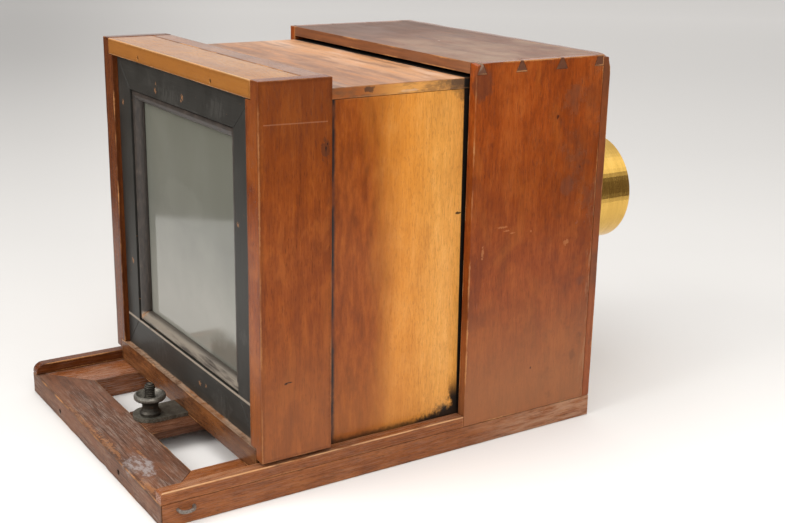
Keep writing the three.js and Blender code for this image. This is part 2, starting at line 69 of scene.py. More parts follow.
# ------------------------------------------------------------------ shader building
class Nodes:
    """Short calls for the nodes of a tree."""

    def __init__(self, tree):
        self.tree = tree

    def put(self, socket, value):
        if isinstance(value, bpy.types.NodeSocket):
            self.tree.links.new(value, socket)
        elif isinstance(value, (tuple, list)) and len(value) == 3 and socket.type == "RGBA":
            socket.default_value = (*value, 1)
        else:
            socket.default_value = value

    def node(self, kind, inputs=(), **settings):
        n = self.tree.nodes.new(kind)
        for k, v in settings.items():
            setattr(n, k, v)
        for key, v in dict(inputs).items():
            self.put(n.inputs[key], v)
        return n

    def math(self, op, a, b=0.0, c=0.0, clamp=False):
        n = self.node("ShaderNodeMath", operation=op, use_clamp=clamp)
        for i, v in enumerate((a, b, c)):
            self.put(n.inputs[i], v)
        return n.outputs[0]

    def add(self, a, b):
        return self.math("ADD", a, b)

    def sub(self, a, b):
        return self.math("SUBTRACT", a, b)

    def mul(self, a, b):
        return self.math("MULTIPLY", a, b)

    def vmath(self, op, a, b=None, scale=None):
        n = self.node("ShaderNodeVectorMath", operation=op)
        self.put(n.inputs[0], a)
        if b is not None:
            self.put(n.inputs[1], b)
        if scale is not None:
            self.put(n.inputs["Scale"], scale)
        return n.outputs[0]

    def dot(self, a, b):
        n = self.node("ShaderNodeVectorMath", {0: a, 1: b}, operation="DOT_PRODUCT")
        return n.outputs["Value"]

    def noise(self, vector, scale=1.0, detail=2.0, rough=0.5, warp=0.0):
        n = self.node("ShaderNodeTexNoise", {"Vector": vector, "Scale": scale, "Detail": detail,
                                             "Roughness": rough, "Distortion": warp})
        return n.outputs[0]

    def step(self, value, low, high, to_low=0.0, to_high=1.0):
        """A smooth step from to_low at low to to_high at high."""
        n = self.node("ShaderNodeMapRange", interpolation_type="SMOOTHSTEP")
        for i, v in enumerate((value, low, high, to_low, to_high)):
            self.put(n.inputs[i], v)
        return n.outputs[0]

    def mix(self, fac, a, b, kind="MIX"):
        n = self.node("ShaderNodeMix", data_type="RGBA", blend_type=kind, clamp_factor=True)
        self.put(n.inputs[0], fac)
        self.put(n.inputs[6], a)
        self.put(n.inputs[7], b)
        return n.outputs[2]

    def tint(self, color, mask, amount, tone):
        """The tone laid over the colour by amount where the mask is 1."""
        return self.mix(self.mul(mask, amount), color, tone)

    def ramp(self, fac, *stops):
        n = self.node("ShaderNodeValToRGB", {0: fac})
        e = n.color_ramp.elements
        while len(e) < len(stops):
            e.new(0.5)
        for el, (pos, col) in zip(e, stops):
            el.position, el.color = pos, (*col, 1)
        return n.outputs[0]


class Graph(Nodes):
    """A material on one Principled shader, laid out over the object's own frame in mm."""

    def __init__(self, name):
        self.mat = bpy.data.materials.new(name)
        self.mat.use_nodes = True
        super().__init__(self.mat.node_tree)
        self.tree.nodes.clear()
        self.bsdf = self.node("ShaderNodeBsdfPrincipled")
        self.node("ShaderNodeOutputMaterial", {0: self.bsdf.outputs[0]})
        coordinates = self.node("ShaderNodeTexCoord").outputs["Object"]
        self.place = self.vmath("SCALE", coordinates, scale=1 / MM)
        self.axes = self.node("ShaderNodeSeparateXYZ", {0: self.place}).outputs

    def xyz(self):
        return self.axes

    def stretched(self, scale, shift=(0, 0, 0)):
        return self.vmath("MULTIPLY", self.vmath("ADD", self.place, shift), scale)

    def patches(self, scale, low, high, detail=2.0, rough=0.5, shift=(0, 0, 0)):
        """1 where a stretched noise is above high, 0 where it is below low."""
        return self.step(self.noise(self.stretched(scale, shift), 1, detail, rough), low, high)

    def bump(self, height, depth_mm, strength=1.0, under=None):
        n = self.node("ShaderNodeBump", {"Height": height, "Distance": depth_mm * MM,
                                         "Strength": strength})
        if under is not None:
            self.put(n.inputs["Normal"], under)
        return n.outputs[0]

    def edge(self, lo, hi):
        """Distance to the nearest edge of the box lo..hi, for a point on its surface."""
        d = []
        for out, a, b in zip(self.xyz(), lo, hi):
            d.append(self.math("MINIMUM", self.math("ABSOLUTE", self.sub(out, a)),
                               self.math("ABSOLUTE", self.sub(out, b))))
        low, high = self.math("MINIMUM", d[0], d[1]), self.math("MAXIMUM", d[0], d[1])
        return self.math("MAXIMUM", low, self.math("MINIMUM", high, d[2]))

    def blob(self, centre, radii, raggedness=0.35, scale=0.12):
        """1 inside a ragged ellipsoid around centre, 0 outside."""
        v = self.vmath("SUBTRACT", self.place, centre)
        v = self.vmath("MULTIPLY", v, [1 / r for r in radii])
        n = self.node("ShaderNodeVectorMath", {0: v}, operation="LENGTH")
        ragged = self.mul(self.sub(self.noise(self.place, scale, 4, 0.6), 0.5), raggedness * 4)
        return self.step(self.add(n.outputs["Value"], ragged), 1.15, 0.75)

    def line(self, a, b, width):
        """1 on the straight stroke from a to b, 0 away from it."""
        a, b = Vector(a), Vector(b)
        way, length = (b - a).normalized(), (b - a).length
        run = self.vmath("SUBTRACT", self.place, a)
        t = self.math("MINIMUM", self.math("MAXIMUM", self.dot(run, way), 0.0), length)
        foot = self.vmath("SCALE", way, scale=t)
        n = self.node("ShaderNodeVectorMath", {0: run, 1: foot}, operation="DISTANCE")
        return self.step(n.outputs["Value"], width, width * 0.4)

    def finish(self, color, rough, normal=None, metallic=0.0, specular=0.5, coat=0.0, coat_rough=0.1):
        b = self.bsdf
        self.put(b.inputs["Base Color"], color)
        self.put(b.inputs["Roughness"], rough)
        b.inputs["Metallic"].default_value = metallic
        b.inputs["Specular IOR Level"].default_value = specular
        b.inputs["Coat Weight"].default_value = coat
        b.inputs["Coat Roughness"].default_value = coat_rough
        if normal is not None:
            self.put(b.inputs["Normal"], normal)
        return self.mat


AXES = {"x": 0, "y": 1, "z": 2}


def along(axis, length, across):
    """Noise scale per mm: slow along the grain, quick across it."""
    s = [across] * 3
    s[AXES[axis]] = length
    return tuple(s)


def box_mm(node):
    lo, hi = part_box(node)
    return [v * 1000 for v in lo], [v * 1000 for v in hi]


def wood(name, axis, tones, box, worn_to=(0.48, 0.22, 0.08), wear=1.0, grime=(0.05, 0.022, 0.014),
         blotch=0.4, rough=0.17, seed=0, extra=None, weather=0.0, soot=0.3,
         specular=0.22, flow=1.0):
    """Aged polished wood with the grain along one axis. tones are the dark, middle and light colours;
    box is the board's (low, high) corners for worn edges; extra(g, color, rough) adds local marks;
    flow above 1 gives a shorter, more clouded figure."""
    g = Graph(name)
    shift = (seed * 37.7, seed * 91.3, seed * 53.9)
    dark, mid, light = tones
    bands = g.noise(g.stretched(along(axis, 0.003 * flow, 0.05), shift), 1, 4, 0.5, 0.8)
    streak = g.noise(g.stretched(along(axis, 0.010 * flow, 0.40), shift), 1, 5, 0.72, 0.4)
    fibre = g.noise(g.stretched(along(axis, 0.06, 1.9), shift), 1, 3, 0.65)
    pores = g.patches(along(axis, 0.16, 2.3), 0.62, 0.70, 1, 0.5, shift)
    ticks = g.patches(along(axis, 0.11, 0.85), 0.54, 0.66, 3, 0.6, shift)
    mottle = g.noise(g.stretched(along(axis, 0.035, 0.06), shift), 1, 6, 0.7)
    tone = g.add(g.mul(bands, 0.30), g.add(g.mul(streak, 0.36), g.mul(mottle, 0.34)))
    color = g.ramp(tone, (0.34, dark), (0.50, mid), (0.66, light))
    shade = g.ramp(fibre, (0.25, (0.70, 0.66, 0.62)), (0.72, (1.0, 1.0, 1.0)))
    color = g.mix(0.6, color, shade, "MULTIPLY")
    color = g.tint(color, pores, 0.5, tuple(c * 0.3 for c in dark))
    color = g.tint(color, ticks, 0.38, tuple(c * 0.8 for c in dark))
    stains = g.patches((0.016, 0.016, 0.016), 0.50, 0.74, 5, 0.62, shift)
    color = g.tint(color, stains, blotch, grime)
    haze = g.noise(g.stretched((0.02, 0.02, 0.02), shift), 1, 4, 0.6)
    roughness = g.add(rough - 0.10, g.add(g.mul(fibre, 0.10), g.mul(haze, 0.2)))
    if weather:
        dry = g.patches(along(axis, 0.05, 0.95), 0.46, 0.62, 6, 0.75, shift)
        area = g.step(g.noise(g.stretched((0.02, 0.02, 0.02), shift), 1, 3, 0.6), 0.36, 0.62, 0.25, 1.0)
        color = g.tint(color, g.mul(dry, area), weather, WEATHERED)
        crack = g.patches(along(axis, 0.025, 1.1), 0.42, 0.36, 5, 0.75, shift)
        color = g.tint(color, crack, 0.75, tuple(c * 0.5 for c in dark))
        roughness = g.add(roughness, g.mul(dry, 0.2))
    if extra:
        color, roughness = extra(g, color, roughness)
    edge = g.edge(*box)
    fine = g.noise(g.place, 0.35, 4, 0.7)
    patches = g.patches((0.022, 0.022, 0.022), 0.44, 0.62, 3, 0.6, shift)
    rub = g.mul(g.mul(g.step(g.sub(edge, g.mul(fine, 2.4)), 0.1, -0.7), patches), wear * 0.8)
    dirt = g.mul(g.step(g.sub(edge, g.mul(fine, 5.0)), 1.5, -1.5), soot)
    color = g.mix(dirt, color, tuple(c * 0.45 for c in dark))
    color = g.mix(rub, color, worn_to)
    roughness = g.add(roughness, g.mul(rub, 0.12))
    height = g.add(g.mul(fibre, 0.45), g.add(g.mul(streak, 0.5), g.mul(pores, -0.6)))
    normal = g.bump(g.noise(g.stretched((0.01, 0.01, 0.01), shift), 1, 2), 1.2, 0.5)
    normal = g.bump(height, 0.14, 0.5, under=normal)
    return g.finish(color, roughness, normal, specular=specular)


# ------------------------------------------------------------------ meshes
SHARP = math.radians(35)
CHIP_CUTS = [k / 4 for k in range(-3, 4)]     # cuts across a chip, in parts of its reach
CUT_MARGIN, DENT_REACH = 1.2, 3.5             # mm from an edge: no cuts nearer, no dents farther


def paint(obj, mat):
    obj.data.materials.clear()
    obj.data.materials.append(mat)


def soften(node, width=0.5, segments=2):
    """Rounds a CAD node's sharp edges with a modifier; its mesh stays as it is."""
    obj = NODES[node]
    bevel = obj.modifiers.new("edges", "BEVEL")
    bevel.width, bevel.segments = width * MM, segments
    bevel.limit_method, bevel.angle_limit = "ANGLE", SHARP
    for p in obj.data.polygons:
        p.use_smooth = False
    return obj


def cut_plane(bm, axis, at):
    normal, point = [0, 0, 0], [0, 0, 0]
    normal[axis], point[axis] = 1, at
    bmesh.ops.bisect_plane(bm, geom=bm.verts[:] + bm.edges[:] + bm.faces[:], plane_co=point,
                           plane_no=normal, dist=1e-5)


def worn(node, slot, radius=0.8, wear=0.5, grid=16, chips=(), seed=0):
    """A used copy of a CAD board: rounded arrises, small dents along them and chips.
    chips holds (centre, reach, depth) in mm; they pull towards the middle of the board."""
    lo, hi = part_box(node)
    mid = (lo + hi) / 2
    bm = bmesh.new()
    bm.from_mesh(NODES[node].data)
    bmesh.ops.remove_doubles(bm, verts=bm.verts[:], dist=2e-6)
    bmesh.ops.dissolve_limit(bm, angle_limit=math.radians(2), verts=bm.verts[:], edges=bm.edges[:])
    sharp = [e for e in bm.edges if len(e.link_faces) == 2 and e.calc_face_angle(0) > SHARP]
    bmesh.ops.bevel(bm, geom=sharp, offset=radius * MM, offset_type="OFFSET", segments=2, profile=0.5,
                    affect="EDGES", clamp_overlap=True)
    for axis in range(3):
        n = max(1, round((hi[axis] - lo[axis]) / (grid * MM)))
        for i in range(1, n):
            cut_plane(bm, axis, lo[axis] + (hi[axis] - lo[axis]) * i / n)
        for centre, reach, depth in chips:
            for k in CHIP_CUTS:
                at = (centre[axis] + k * reach) * MM
                if lo[axis] + CUT_MARGIN * MM < at < hi[axis] - CUT_MARGIN * MM:
                    cut_plane(bm, axis, at)
    bm.normal_update()
    shift = Vector((seed * 3.1, seed * 1.7, seed * 5.3))
    for v in bm.verts:
        out = sorted(min(abs(v.co[k] - lo[k]), abs(v.co[k] - hi[k])) for k in range(3))
        near = max(0.0, 1 - out[1] / (DENT_REACH * MM))
        dent = noise.noise(v.co * 90 + shift) + 0.5 * noise.noise(v.co * 260 + shift)
        move = (mid - v.co).normalized() * near * max(0.0, dent + 0.15) * wear * MM
        move -= v.normal * (0.5 + 0.5 * noise.noise(v.co * 14 + shift)) * 0.06 * MM
        for centre, reach, depth in chips:
            gap = (v.co / MM - Vector(centre)).length / reach
            if gap < 1:
                move += (mid - v.co).normalized() * depth * MM * (1 - gap * gap) ** 2
        v.co += move
    me = bpy.data.meshes.new(node + ".worn")
    bm.to_mesh(me)
    bm.free()
    me.polygons.foreach_set("use_smooth", [True] * len(me.polygons))
    obj = bpy.data.objects.new(node + ".worn", me)
    bpy.context.scene.collection.objects.link(obj)
    weighted = obj.modifiers.new("normals", "WEIGHTED_NORMAL")
    weighted.keep_sharp = False
    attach(obj, NODES[node]["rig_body"])
    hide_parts(node)
    return obj


# ------------------------------------------------------------------ wood: dark, middle and light, linear
MAHOGANY = ((0.15, 0.027, 0.005), (0.31, 0.062, 0.009), (0.43, 0.110, 0.021))
CHEEK = ((0.12, 0.023, 0.004), (0.245, 0.054, 0.007), (0.34, 0.090, 0.013))
HONEY = ((0.52, 0.20, 0.032), (0.72, 0.315, 0.058), (0.84, 0.42, 0.11))
TOP = ((0.080, 0.028, 0.012), (0.17, 0.065, 0.030), (0.29, 0.13, 0.07))
PINKISH = ((0.18, 0.07, 0.026), (0.38, 0.16, 0.065), (0.56, 0.30, 0.16))
CAP = ((0.25, 0.088, 0.012), (0.37, 0.145, 0.024), (0.47, 0.22, 0.05))
PLANK = ((0.15, 0.052, 0.019), (0.27, 0.105, 0.038), (0.40, 0.19, 0.08))
BASE = ((0.055, 0.020, 0.010), (0.14, 0.056, 0.028), (0.26, 0.135, 0.08))
SIDE = ((0.11, 0.030, 0.009), (0.25, 0.078, 0.022), (0.38, 0.145, 0.05))
RAIL = ((0.055, 0.018, 0.007), (0.15, 0.055, 0.020), (0.26, 0.12, 0.05))
# the same wood as the near boards, darkened for the far side: painted shade
SHADED_FAR_WOOD = ((0.060, 0.014, 0.004), (0.13, 0.034, 0.008), (0.20, 0.060, 0.014))
WEATHERED = (0.36, 0.30, 0.26)
ORANGE = (0.47, 0.20, 0.07)
INK = (0.012, 0.010, 0.009)

# near-black for the gap between the slide box and the front box: painted shade
PAINTED_GAP_SHADE = (0.010, 0.008, 0.007)


def lowest(node, axis):
    return box_mm(node)[0][AXES[axis]]


def highest(node, axis):
    return box_mm(node)[1][AXES[axis]]


# planes that the marks lie on, in mm
OUTER_SIDE, SLIDE_SIDE = lowest("front_box_side_right", "x"), lowest("slide_box_side_right", "x")
FRONT_REAR, LENS_FACE = highest("front_box_top", "y"), lowest("lens_panel", "y")
FRAME_REAR, GLASS_REAR = highest("screen_frame_right", "y"), highest("ground_glass", "y")
CAP_REAR, CAP_TOP = highest("screen_cap", "y"), highest("screen_cap", "z")
FRONT_TOP, SLIDE_TOP = highest("front_box_top", "z"), highest("slide_box_top", "z")
BASE_TOP, STRIP_TOP = highest("base_rear_rail", "z"), highest("guide_strip_right", "z")
RAIL_TOP, NUT_TOP = highest("carrier_bottom_rail", "z"), highest("clamp_nut", "z")
SILL_LINE = 67.8                              # z of the pale line along the screen frame's foot, partly wear, partly a painted highlight
GLASS_SEEN = ((-96, 168, 72), (98, 172, 275))
SHADE_BAND_FOOT, SHADE_BAND_SLOPE = 43, 0.0087            # the painted shade of the gap by the front box widens upwards
THREAD_PITCH = 1.6


def front_side_marks(g, color, rough):
    _, y, z = g.xyz()
    color = g.tint(color, g.step(z, FRONT_TOP - 0.5, FRONT_TOP - 0.2), 0.7, TOP[1])
    cloud = g.noise(g.stretched((0.03, 0.030, 0.018), (6, 1, 8)), 1, 5, 0.62, 0.6)
    color = g.mix(g.step(cloud, 0.52, 0.72, 0.0, 0.30), color, (0.46, 0.135, 0.022))
    color = g.mix(g.step(cloud, 0.50, 0.30, 0.0, 0.30), color, (0.15, 0.034, 0.008))
    haze = g.mul(g.step(g.noise(g.place, 0.035, 5, 0.65), 0.44, 0.66),
                 g.blob((OUTER_SIDE, -128, 262), (12, 42, 78)))
    color = g.tint(color, haze, 0.40, (0.115, 0.055, 0.030))
    # lighter and browner towards the bottom: painted reflection of the pale table
    color = g.mix(g.step(z, 150, 30, 0.0, 0.6), color, (0.38, 0.165, 0.070))
    color = g.tint(color, g.step(z, 275, 220), 0.2, (0.02, 0.006, 0.002))
    smoke = g.step(g.noise(g.place, 0.055, 5, 0.6), 0.56, 0.7)
    color = g.tint(color, g.mul(smoke, g.step(y, -60, -110)), 0.4, (0.095, 0.040, 0.022))
    color = g.tint(color, g.blob((OUTER_SIDE, -99, 214), (6, 7, 9)), 0.25, (0.10, 0.06, 0.045))
    color = g.tint(color, g.blob((OUTER_SIDE, -8, 305), (6, 10, 14)), 0.5, (0.07, 0.03, 0.02))
    for my, mz, r in ((-85.1, 272.9, 1.3), (-112, 229, 0.8), (-70, 58, 0.8)):
        pit = g.blob((OUTER_SIDE, my, mz), (r, r, r * 1.3), 0.5, 0.6)
        color = g.tint(color, pit, 0.8, (0.035, 0.010, 0.006))
    for c, r in (((OUTER_SIDE, -101.7, 165.3), (3, 2.6, 2.4)), ((OUTER_SIDE, -63.1, 180.1), (1, 0.9, 0.8)),
                 ((OUTER_SIDE, -33, 187), (3, 6, 0.8)), ((OUTER_SIDE, -38, 183.5), (3, 3.5, 0.6)),
                 ((OUTER_SIDE, -44, 181), (3, 2.2, 0.7)), ((OUTER_SIDE, -14, 168), (3, 1, 5))):
        color = g.tint(color, g.blob(c, r, 0.9, 0.5), 0.42, ORANGE)
    rubbed = g.mul(g.step(y, -122, -131), g.patches((0.3, 0.25, 0.045), 0.50, 0.62, 4, 0.7))
    color = g.tint(color, g.mul(rubbed, g.step(z, 240, 190)), 0.4, (0.36, 0.20, 0.10))
    return color, g.add(rough, g.mul(haze, 0.12))


def cheek_marks(g, color, rough):
    *_, z = g.xyz()
    figure = g.noise(g.stretched((0.01, 0.055, 0.014), (9, 31, 4)), 1, 4, 0.55, 1.6)
    color = g.mix(g.step(figure, 0.50, 0.66, 0.0, 0.28), color, (0.40, 0.115, 0.018))
    color = g.mix(g.step(figure, 0.50, 0.34, 0.0, 0.26), color, (0.13, 0.028, 0.006))
    color = g.tint(color, g.step(z, 220, 330), 0.5, (0.12, 0.035, 0.014))
    # lighter and browner towards the bottom: painted reflection of the pale table
    color = g.mix(g.step(z, 160, 50, 0.0, 0.4), color, (0.28, 0.115, 0.048))
    scratch = g.line((OUTER_SIDE, 181, 288.3), (OUTER_SIDE, 130, 287.2), 0.6)
    color = g.tint(color, scratch, 0.22, (0.55, 0.28, 0.16))
    knot = g.blob((OUTER_SIDE, 131.5, 267), (5, 3.4, 8), 0.5, 0.3)
    color = g.tint(color, knot, 0.55, (0.055, 0.024, 0.014))
    for c, r in (((OUTER_SIDE, 131.2, 267.3), (2, 0.7, 1.9)), ((OUTER_SIDE, 130.0, 270.6), (2, 0.5, 0.9)),
                 ((OUTER_SIDE, 165.1, 92.1), (2, 1.4, 1.0)), ((OUTER_SIDE, 162.6, 92.6), (2, 3.2, 0.5))):
        color = g.tint(color, g.blob(c, r, 0.5, 0.5), 0.85, INK)
    return color, rough


def slide_side_marks(g, color, rough):
    _, y, z = g.xyz()
    ragged = g.mul(g.sub(g.noise(g.stretched((0.02, 0.02, 0.004)), 1, 4, 0.6), 0.5), 60)
    red = g.step(g.add(y, ragged), 56, 96)
    speck = g.noise(g.stretched((0.5, 0.5, 0.17)), 1, 3, 0.7)
    color = g.mix(g.step(y, 50, 12, 0.0, 0.2), color, (0.80, 0.42, 0.12))
    color = g.mix(g.step(y, 20, 60, 0.0, 0.5), color, (0.58, 0.19, 0.022))
    color = g.tint(color, g.step(speck, 0.54, 0.68), 0.35, (0.36, 0.14, 0.035))
    color = g.tint(color, g.step(g.noise(g.place, 0.03, 6, 0.7), 0.5, 0.7), 0.14, (0.84, 0.45, 0.14))
    stained = g.noise(g.stretched(along("z", 0.035, 0.16)), 1, 6, 0.78)
    stained = g.ramp(stained, (0.32, (0.12, 0.020, 0.003)), (0.5, (0.22, 0.043, 0.006)),
                     (0.68, (0.33, 0.082, 0.012)))
    color = g.tint(color, red, 0.93, stained)
    lower = g.mul(g.step(z, 130, 20), g.step(g.add(y, ragged), 5, 60))
    color = g.tint(color, lower, 0.4, (0.38, 0.15, 0.045))
    ink = g.mul(g.sub(g.noise(g.place, 0.14, 5, 0.7), 0.5), 30)
    foot = g.step(g.add(g.add(g.sub(z, 34), g.mul(y, 0.32)), ink), 12, 1)
    front = g.mul(g.step(g.add(y, g.mul(ink, 0.5)), 7.5, 3.5), g.step(z, 66, 42))
    head = g.step(g.add(g.add(g.sub(300, z), g.mul(y, 0.8)), ink), 16, 2)
    streak = g.step(g.add(y, g.mul(ink, 0.08)), 115.5, 118.5)
    color = g.mix(g.math("MAXIMUM", foot, front), color, (0.02, 0.015, 0.012))
    color = g.tint(color, head, 0.8, (0.075, 0.042, 0.022))
    under = g.mul(g.step(g.add(z, g.mul(ink, 0.5)), 296, 308),
                  g.step(g.noise(g.place, 0.09, 5, 0.7), 0.42, 0.6))
    color = g.tint(color, under, 0.5, (0.12, 0.055, 0.022))
    broken = g.step(g.noise(g.stretched(along("z", 0.03, 0.1)), 1, 3), 0.3, 0.5, 0.5, 1)
    color = g.tint(color, streak, broken, (0.02, 0.018, 0.018))
    # painted shade: the gap where the side enters the front box, black in a band that widens upwards
    band = g.sub(y, g.mul(g.sub(z, SHADE_BAND_FOOT), SHADE_BAND_SLOPE))
    color = g.mix(g.step(band, -0.8, -1.4), color, PAINTED_GAP_SHADE)
    color = g.tint(color, g.step(g.add(z, g.mul(ink, 0.25)), 33, 28), 0.75, (0.03, 0.018, 0.012))
    color = g.tint(color, g.blob((SLIDE_SIDE, 3.2, 201), (3, 3.6, 1.1), 0.4, 0.4), 0.9, INK)
    return color, rough


def slide_top_marks(g, color, rough):
    x, y, z = g.xyz()
    ink = g.mul(g.sub(g.noise(g.place, 0.12, 5, 0.7), 0.5), 60)
    # painted reflection: a whitish pink sheen towards the front of the top
    color = g.mix(g.step(y, 85, 10, 0.0, 0.45), color, (0.76, 0.43, 0.22))
    color = g.mix(g.step(y, 20, 110, 0.0, 0.5), color, (0.22, 0.11, 0.06))
    # patches of the same painted reflection near the front
    pale_reflection = g.patches((0.018, 0.045, 0.04), 0.46, 0.62, 4, 0.6, (3, 8, 1))
    color = g.tint(color, g.mul(pale_reflection, g.step(y, 60, 10)), 0.32, (0.74, 0.60, 0.50))
    blue = g.mul(g.step(y, 84, 116), g.patches((0.02, 0.05, 0.05), 0.36, 0.6, 4, 0.6))
    color = g.tint(color, blue, 0.75, (0.26, 0.22, 0.20))
    figured = g.noise(g.stretched((0.012, 0.09, 0.09), (7, 2, 3)), 1, 6, 0.72)
    color = g.mix(g.step(figured, 0.52, 0.38, 0.0, 0.6), color, (0.15, 0.062, 0.03))
    color = g.mix(g.step(figured, 0.52, 0.66, 0.0, 0.6), color, (0.52, 0.20, 0.05))
    end = g.mul(g.step(x, SLIDE_SIDE + 0.6, SLIDE_SIDE + 0.2), g.step(z, SLIDE_TOP - 0.4, SLIDE_TOP - 0.8))
    streaks = g.noise(g.stretched((0.1, 0.05, 0.16), (4, 1, 1)), 1, 5, 0.65)
    honey = g.mix(g.step(y, 50, 100), (0.66, 0.31, 0.075), (0.30, 0.085, 0.016))
    stain = g.mix(g.step(streaks, 0.58, 0.38, 0.05, 0.65), honey, (0.12, 0.06, 0.028))
    color = g.mix(end, color, stain)
    color = g.mix(g.mul(end, g.step(g.add(y, ink), 30, 5)), color, (0.11, 0.06, 0.03))
    # painted shade of the gap at the front edge of the top
    color = g.mix(g.step(y, 1.6, 1.0), color, PAINTED_GAP_SHADE)
    bruise = g.blob((SLIDE_SIDE, 87.3, 305.6), (3, 4.2, 2.6), 0.6, 0.25)
    rubbed = g.blob((SLIDE_SIDE, 52, 302.5), (3, 9, 1.0), 0.6, 0.3)
    color = g.tint(color, g.mul(end, bruise), 0.7, INK)
    color = g.tint(color, g.mul(end, rubbed), 0.5, (0.62, 0.42, 0.28))
    return color, rough


def front_top_marks(g, color, rough):
    x, y, _ = g.xyz()
    dust = g.patches((0.01, 0.022, 0.02), 0.40, 0.62, 5, 0.6, (5, 2, 0))
    color = g.mix(g.step(x, -20, 110, 0.0, 0.5), color, (0.06, 0.028, 0.014))
    color = g.tint(color, g.mul(dust, g.step(x, 70, -40)), 0.55, (0.33, 0.23, 0.16))
    rear = g.step(y, FRONT_REAR - 0.75, FRONT_REAR - 0.15)
    sawn = g.noise(g.stretched(along("x", 0.03, 0.5)), 1, 4)
    color = g.tint(color, rear, 0.85, g.mix(sawn, (0.09, 0.03, 0.012), (0.34, 0.12, 0.04)))
    pin = g.step(x, OUTER_SIDE + 0.6, OUTER_SIDE + 0.2)
    color = g.tint(color, pin, 0.9, (0.115, 0.038, 0.016))
    color = g.mix(g.blob((-12, -62, FRONT_TOP), (1, 1, 1), 0.1), color, (0.7, 0.62, 0.55))
    return color, g.add(rough, g.mul(dust, 0.08))


def panel_marks(g, color, rough):
    *_, z = g.xyz()
    color = g.tint(color, g.step(z, FRONT_TOP - 0.9, FRONT_TOP - 0.3), 0.8, TOP[1])
    return g.mix(g.step(z, 20, 300, 0.35, 0.6), color, (0.13, 0.052, 0.026)), rough


def rear_rail_marks(g, color, rough):
    warm = g.patches((0.015, 0.06, 0.06), 0.46, 0.62, 4, 0.6, (2, 7, 1))
    color = g.tint(color, warm, 0.35, (0.20, 0.075, 0.034))
    split = g.patches((0.012, 0.55, 0.55), 0.40, 0.35, 4, 0.7, (5, 1, 4))
    color = g.tint(color, split, 0.7, (0.035, 0.014, 0.008))
    flaky = g.patches((0.10, 0.22, 0.2), 0.47, 0.58, 5, 0.75)
    patch = g.blob((-80, 256, BASE_TOP), (22, 10, 10), 0.5, 0.11)
    color = g.tint(color, patch, 0.35, (0.19, 0.135, 0.115))
    color = g.tint(color, g.mul(flaky, patch), 0.55, (0.36, 0.34, 0.34))
    for mx, my, length, width, amount in ((-38, 263, 22, 2.6, 0.34), (-58, 247, 9, 1.1, 0.36),
                                          (20, 264.5, 34, 1.6, 0.3), (-118, 263, 16, 2.4, 0.34)):
        rub = g.blob((mx, my, BASE_TOP), (length, width, 5), 1.3, 0.35)
        color = g.tint(color, rub, amount, ORANGE)
    for hx, hz in ((76, 7.2), (-63.3, 8.4)):
        color = g.tint(color, g.blob((hx, 262, hz), (3.0, 9, 3.0), 0.1, 0.4), 0.92, INK)
    return color, rough


def stile_marks(g, color, rough):
    """Paler, drier wood towards the lens, and a dark bruise here and there."""
    _, y, _ = g.xyz()
    dry = g.patches(along("y", 0.03, 0.3), 0.36, 0.6, 5, 0.7)
    color = g.tint(color, g.mul(dry, g.step(y, 20, -90)), 0.45, (0.50, 0.30, 0.19))
    bruise = g.patches(along("y", 0.05, 0.25), 0.60, 0.70, 5, 0.7, (3, 9, 2))
    return g.tint(color, bruise, 0.6, (0.05, 0.022, 0.012)), rough


def strip_marks(g, color, rough):
    x, _, z = g.xyz()
    crest = g.mul(g.step(x, OUTER_SIDE + 1.6, OUTER_SIDE + 0.4), g.step(z, STRIP_TOP - 1.2, STRIP_TOP - 0.3))
    rubbed = g.patches((0.2, 0.03, 0.2), 0.34, 0.52, 4, 0.6)
    color = g.tint(color, g.mul(crest, rubbed), 0.8, (0.66, 0.38, 0.19))
    pale = g.patches((0.3, 0.03, 0.3), 0.38, 0.62, 4, 0.7)
    pale = g.mul(g.step(z, STRIP_TOP - 0.4, STRIP_TOP - 0.1), pale)
    return g.tint(color, pale, 0.25, (0.42, 0.28, 0.19)), rough


def cap_marks(g, color, rough):
    _, y, z = g.xyz()
    crest = g.mul(g.step(y, CAP_REAR - 1.95, CAP_REAR - 0.35), g.step(z, CAP_TOP - 1.5, CAP_TOP - 0.5))
    color = g.tint(color, crest, 0.6, (0.88, 0.60, 0.32))
    face = g.step(y, CAP_REAR - 0.45, CAP_REAR - 0.1)
    color = g.tint(color, face, 0.75, (0.30, 0.112, 0.022))
    return color, rough


def rail_marks(g, color, rough):
    *_, z = g.xyz()
    worn_top = g.mul(g.step(z, RAIL_TOP - 0.8, RAIL_TOP - 0.1),
                     g.step(g.noise(g.place, 0.12, 5, 0.7), 0.3, 0.55))
    color = g.tint(color, worn_top, 0.7, (0.46, 0.32, 0.22))
    rust = g.patches((0.02, 0.1, 0.1), 0.5, 0.64, 4, 0.6)
    return g.tint(color, rust, 0.5, (0.33, 0.12, 0.035)), rough


# chips: centre, reach and depth in mm
REAR_CORNER_CHIP = (((OUTER_SIDE, FRONT_REAR, FRONT_TOP), 9, 2.0),)
LENS_CORNER_CHIP = (((OUTER_SIDE, LENS_FACE, FRONT_TOP), 13, 3.4),)
